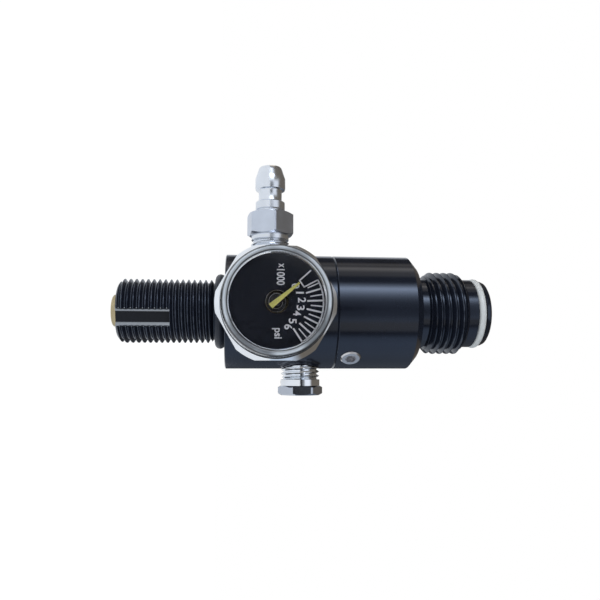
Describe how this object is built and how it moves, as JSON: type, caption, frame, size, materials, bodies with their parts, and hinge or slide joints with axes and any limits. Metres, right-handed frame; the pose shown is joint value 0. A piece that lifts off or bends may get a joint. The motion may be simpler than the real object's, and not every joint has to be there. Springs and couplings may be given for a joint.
{
  "type": "carbon dioxide bottle regulator",
  "caption": "Screw-on gas bottle regulator with pressure gauge, fill nipple, burst plug and threaded outlet with a pin valve.",
  "frame": {"origin": "on the regulator's axis, in the plane of the shoulder that seats on the bottle", "axes": "+Z along the axis from the bottle stem to the outlet; the gauge faces -Y, the fill nipple points to -X and the burst plug to +X"},
  "size_m": [0.0582, 0.0418, 0.0936],
  "materials": {
    "body_anodised": "black anodised, fine turned grain",
    "bonnet_anodised": "black anodised, fine turned grain",
    "black_rubber": "matte nitrile",
    "grey_urethane": "satin cast urethane",
    "bright_plate": "bright nickel plate",
    "gauge_plate": "bright chrome plate",
    "brass": "turned brass",
    "sintered_bronze": "sintered, granular",
    "copper": "rolled copper foil",
    "spring_steel": "hard drawn, light oil",
    "screw_steel": "zinc plated",
    "stainless": "fine turned",
    "acetal": "machined acetal",
    "dial_print": "black dial with white printing",
    "needle_paint": "matte yellow enamel",
    "clear_lens": "clear polycarbonate",
    "dark_moulding": "black moulded nylon"
  },
  "bodies": {
    "regulator": {"valve_body": "body_anodised", "bonnet": "bonnet_anodised", "bottle_o_ring": "black_rubber", "outlet_o_ring": "grey_urethane", "bonnet_lock_screw": "screw_steel", "inlet_filter_holder": "brass", "inlet_filter": "sintered_bronze", "seat_carrier": "brass", "valve_seat": "acetal", "stem_o_ring": "black_rubber", "stem_guide_bush": "brass", "spring_shim": "spring_steel", "disc_spring_stack": "spring_steel", "outlet_valve_housing": "brass", "outlet_valve_o_ring": "black_rubber", "outlet_pin_spring": "spring_steel", "outlet_spring_retainer": "brass", "gauge_socket": "brass", "gauge_case": "gauge_plate", "gauge_lens": "clear_lens", "gauge_dial": "dial_print", "gauge_dial_spacer": "dark_moulding", "gauge_bourdon_coil": "copper", "fill_nipple": "bright_plate", "fill_check_spring": "spring_steel", "fill_spring_retainer": "brass", "burst_plug": "bright_plate", "burst_disc": "copper", "burst_washer": "brass"},
    "piston": {"piston": "stainless", "piston_head_o_ring": "black_rubber"},
    "outlet_pin": {"outlet_pin": "stainless", "outlet_pin_seal": "grey_urethane"},
    "fill_poppet": {"fill_check_poppet": "brass", "fill_check_seal": "black_rubber"},
    "pointer": {"gauge_spindle": "dark_moulding", "gauge_pointer": "needle_paint"}
  },
  "joints": [
    {"name": "piston_slide", "type": "slide", "parent": "regulator", "child": "piston", "axis": [0, 0, 1], "range_m": [-0.0008, 0], "stiffness_N_per_m": 20000, "springref_m": 0.0002, "deforming": ["disc_spring_stack"]},
    {"name": "outlet_pin_slide", "type": "slide", "parent": "regulator", "child": "outlet_pin", "axis": [0, 0, 1], "range_m": [-0.0015, 0], "stiffness_N_per_m": 600, "springref_m": 0.001, "deforming": ["outlet_pin_spring"]},
    {"name": "fill_poppet_slide", "type": "slide", "parent": "regulator", "child": "fill_poppet", "axis": [1, 0, 0], "range_m": [0, 0.0015], "stiffness_N_per_m": 300, "springref_m": -0.001, "deforming": ["fill_check_spring"]},
    {"name": "gauge_pointer_turn", "type": "hinge", "parent": "regulator", "child": "pointer", "pos_m": [0, -0.0243, 0.0115], "axis": [0, 1, 0], "range_deg": [0, 100], "stiffness_Nm_per_rad": 0.0005, "springref_deg": -2.86}
  ]
}
